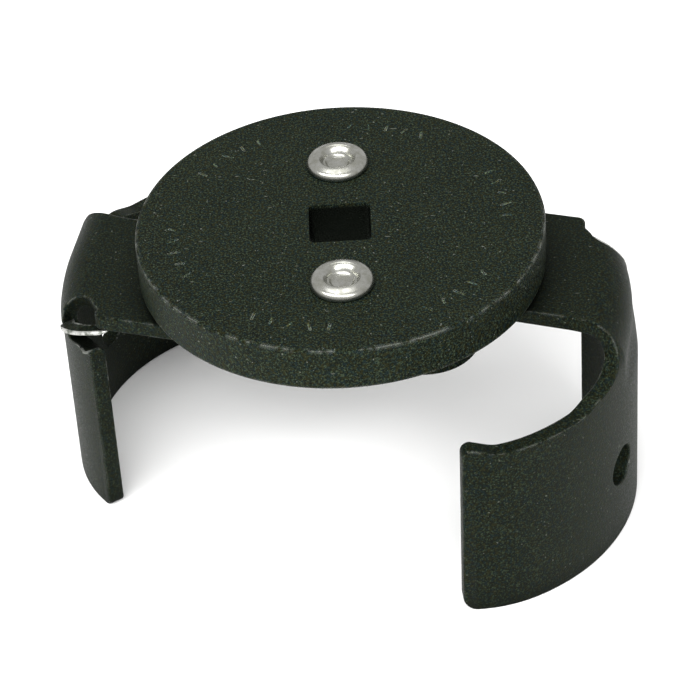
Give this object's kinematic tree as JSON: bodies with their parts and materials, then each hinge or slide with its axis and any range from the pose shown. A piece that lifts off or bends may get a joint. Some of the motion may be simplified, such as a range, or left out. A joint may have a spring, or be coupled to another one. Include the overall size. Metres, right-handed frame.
{
  "type": "oil filter wrench",
  "caption": "Round drive plate with a square drive hole and curved sheet-steel jaw arms on rivets that swing in to grip an oil filter.",
  "frame": {"origin": "on the drive plate's axis, level with the lower edges of the jaws", "axes": "+Z along the drive plate's axis, from the jaws' lower edges towards the plate's drive face; +X towards the right arm, which hangs on the back rivet; +Y towards the back rivet"},
  "size_m": [0.0928, 0.078, 0.0504],
  "materials": {
    "plate_steel": "satin black oxide on machined steel",
    "arm_steel": "satin black oxide on pressed sheet steel",
    "rivet_steel": "bright zinc plate",
    "washer_steel": "bare steel, lightly oiled"
  },
  "bodies": {
    "plate": {"drive_plate": "plate_steel", "back_rivet": "rivet_steel", "front_rivet": "rivet_steel", "back_spacer": "washer_steel", "front_spacer": "washer_steel", "back_washer": "washer_steel", "front_washer": "washer_steel"},
    "right_arm": {"right_jaw_arm": "arm_steel"},
    "left_arm": {"left_jaw_arm": "arm_steel"}
  },
  "joints": [
    {"name": "right_arm_pivot", "type": "hinge", "parent": "plate", "child": "right_arm", "pos_m": [0, 0.0158, 0.03865], "axis": [0, 0, 1], "range_deg": [-14, 20]},
    {"name": "left_arm_pivot", "type": "hinge", "parent": "plate", "child": "left_arm", "pos_m": [0, -0.0158, 0.03865], "axis": [0, 0, 1], "range_deg": [-14, 20]}
  ],
  "couplings": [
    {"joint": "left_arm_pivot", "follows": "right_arm_pivot", "ratio": 1}
  ]
}
